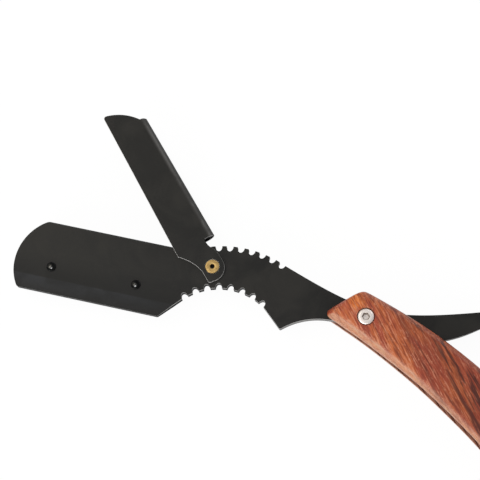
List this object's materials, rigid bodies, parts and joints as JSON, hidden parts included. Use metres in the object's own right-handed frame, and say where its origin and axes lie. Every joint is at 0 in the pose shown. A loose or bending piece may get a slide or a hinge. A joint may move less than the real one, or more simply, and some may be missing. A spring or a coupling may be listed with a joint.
{
  "type": "replaceable blade straight razor",
  "caption": "Folding razor for replaceable blades: matte black holder with a finger-grooved shank and tail, a swing-out cover leaf on a brass rivet, and curved rosewood handle scales.",
  "frame": {"origin": "where the pivot axis meets the flat underside of the pivot post's head, on the back of the handle", "axes": "+Z along the pivot axis from the back scale to the front scale, +X towards the tail with the blade holder lying mostly along -X, +Y away from the finger-grooved underside of the shank"},
  "size_m": [0.2375, 0.1891, 0.0138],
  "materials": {
    "black_steel": "matte black coating on steel, satin where edges catch the light",
    "pin_steel": "glossy black",
    "bright_steel": "bright machined steel",
    "brass": "turned brass, lightly polished",
    "rosewood": "oiled rosewood, satin",
    "black_fibre": "matte black vulcanised fibre"
  },
  "bodies": {
    "handle": {"scale_front": "rosewood", "scale_back": "rosewood", "pivot_screw": "bright_steel", "pivot_post": "bright_steel", "pivot_washer_front": "bright_steel", "pivot_washer_back": "bright_steel", "end_screw": "bright_steel", "end_post": "bright_steel", "end_spacer": "black_fibre"},
    "holder": {"holder_plate": "black_steel", "blade_pin_heel": "pin_steel", "blade_pin_toe": "pin_steel", "leaf_rivet": "brass"},
    "leaf": {"cover_leaf": "black_steel"}
  },
  "joints": [
    {"name": "holder_fold", "type": "hinge", "parent": "handle", "child": "holder", "pos_m": [0, 0, 0.0069], "axis": [0, 0, 1], "range_deg": [-150, 142.5]},
    {"name": "leaf_swing", "type": "hinge", "parent": "holder", "child": "leaf", "pos_m": [-0.05578, 0.01942, 0.0069], "axis": [0, 0, 1], "range_deg": [-55, 47.6]}
  ]
}
